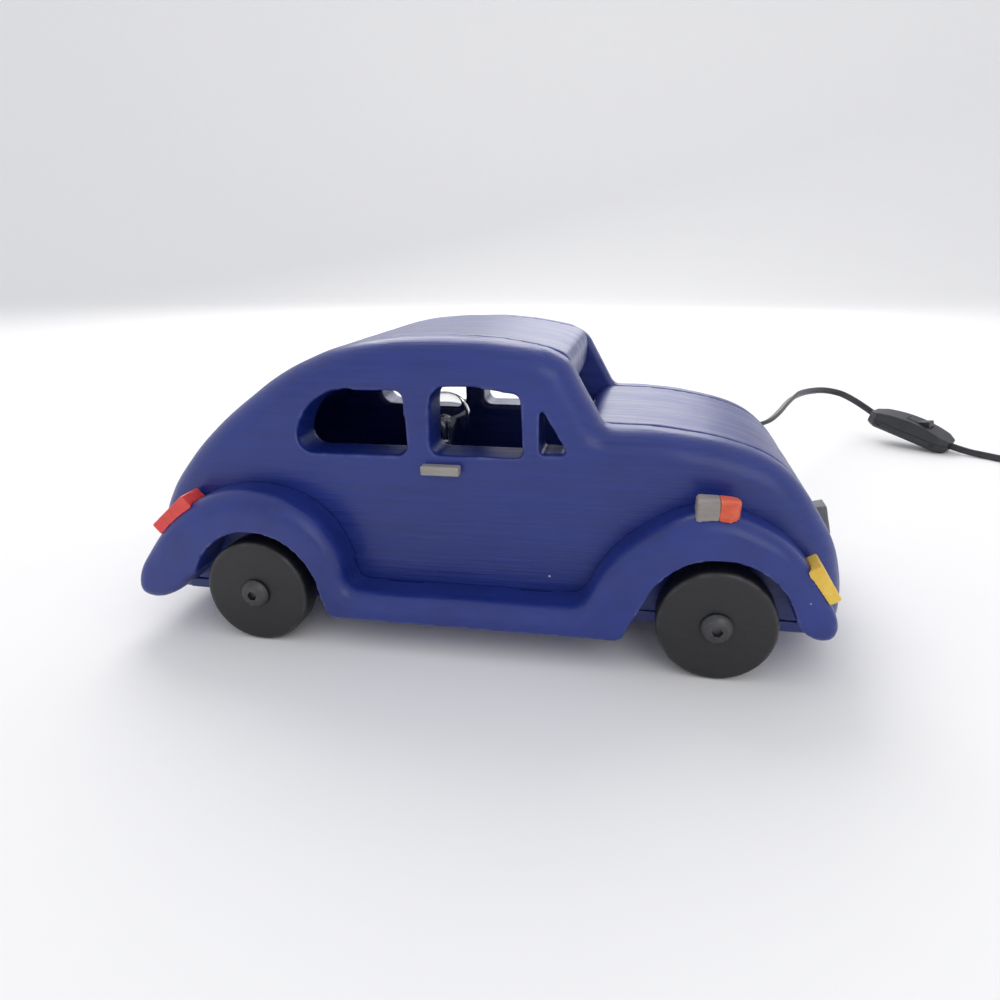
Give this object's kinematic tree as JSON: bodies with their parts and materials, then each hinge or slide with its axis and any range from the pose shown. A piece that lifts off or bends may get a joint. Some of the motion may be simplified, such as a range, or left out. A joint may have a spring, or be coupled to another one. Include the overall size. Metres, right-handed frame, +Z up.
{
  "type": "novelty table lamp",
  "caption": "Table lamp built as a wooden classic small car, with a bulb inside the cabin, turning wheels, and a lead with a rocker switch and plug.",
  "frame": {"origin": "on the ground under the middle of the car, halfway between its ends and its sides", "axes": "+X towards the car's nose, +Y towards its left side, +Z up"},
  "size_m": [0.6276, 0.4484, 0.1397],
  "materials": {
    "blue_paint": "satin brushed paint",
    "black_paint": "satin brushed paint",
    "dark_steel": "satin",
    "zinc_steel": "satin",
    "beige_paint": "brushed paint",
    "grey_paint": "brushed paint",
    "warm_grey_paint": "brushed paint",
    "orange_paint": "satin paint",
    "yellow_paint": "satin paint",
    "red_paint": "satin paint",
    "bare_wood": "bare",
    "holder_plastic": "matte",
    "brass": "satin",
    "clear_glass": "clear",
    "dark_glass": "gloss",
    "bright_metal": "bright",
    "lead_sheath": "soft, slightly shiny",
    "tie_plastic": "matte",
    "pin_metal": "bright",
    "black_plastic": "fine satin"
  },
  "bodies": {
    "root": {"base_board": "blue_paint", "base_screws": "zinc_steel", "board_washers": "zinc_steel", "bonnet_handle": "grey_paint", "bonnet_panel": "blue_paint", "bracket_screws": "zinc_steel", "bulb_cap": "brass", "bulb_filament": "bright_metal", "bulb_glass": "clear_glass", "bulb_insulator": "dark_glass", "bulb_stem": "clear_glass", "bulb_tip": "bright_metal", "clamp_nuts": "zinc_steel", "coil_tie": "tie_plastic", "door_handle_left": "beige_paint", "door_handle_right": "beige_paint", "fender_board_left": "blue_paint", "fender_board_right": "blue_paint", "fender_dowels": "bare_wood", "headlight_left": "yellow_paint", "headlight_right": "yellow_paint", "holder_contact": "brass", "holder_core": "holder_plastic", "holder_shell": "holder_plastic", "indicator_base_left": "warm_grey_paint", "indicator_base_right": "warm_grey_paint", "indicator_lens_left": "orange_paint", "indicator_lens_right": "orange_paint", "inner_flex": "lead_sheath", "lamp_bracket": "zinc_steel", "lead_coil": "lead_sheath", "lead_lamp_to_switch": "lead_sheath", "lead_switch_to_coil": "lead_sheath", "lock_nuts": "zinc_steel", "panel_dowels": "bare_wood", "plug_body": "black_plastic", "plug_pins": "pin_metal", "rocker_pin": "zinc_steel", "roof_panel": "blue_paint", "side_board_left": "blue_paint", "side_board_right": "blue_paint", "strain_relief": "black_plastic", "switch_base": "black_plastic", "switch_cover": "black_plastic", "switch_screws": "zinc_steel", "switch_terminals": "brass", "tail_light_left": "red_paint", "tail_light_right": "red_paint", "wheel_bolt_front_left": "dark_steel", "wheel_bolt_front_right": "dark_steel", "wheel_bolt_rear_left": "dark_steel", "wheel_bolt_rear_right": "dark_steel", "wheel_washers": "zinc_steel"},
    "wheel_front_right": {"wheel_front_right": "black_paint"},
    "wheel_front_left": {"wheel_front_left": "black_paint"},
    "wheel_rear_right": {"wheel_rear_right": "black_paint"},
    "wheel_rear_left": {"wheel_rear_left": "black_paint"},
    "switch_rocker": {"switch_rocker": "black_plastic"}
  },
  "joints": [
    {"name": "wheel_front_right_spin", "type": "hinge", "parent": "root", "child": "wheel_front_right", "pos_m": [0.106, -0.079, 0.025], "axis": [0, 1, 0], "continuous": true},
    {"name": "wheel_front_left_spin", "type": "hinge", "parent": "root", "child": "wheel_front_left", "pos_m": [0.106, 0.079, 0.025], "axis": [0, 1, 0], "continuous": true},
    {"name": "wheel_rear_right_spin", "type": "hinge", "parent": "root", "child": "wheel_rear_right", "pos_m": [-0.102, -0.079, 0.025], "axis": [0, 1, 0], "continuous": true},
    {"name": "wheel_rear_left_spin", "type": "hinge", "parent": "root", "child": "wheel_rear_left", "pos_m": [-0.102, 0.079, 0.025], "axis": [0, 1, 0], "continuous": true},
    {"name": "rocker_tilt", "type": "hinge", "parent": "root", "child": "switch_rocker", "pos_m": [0.31416, 0.32303, 0.02095], "axis": [0.6046, 0.7965, 0], "range_deg": [0, 24]}
  ]
}
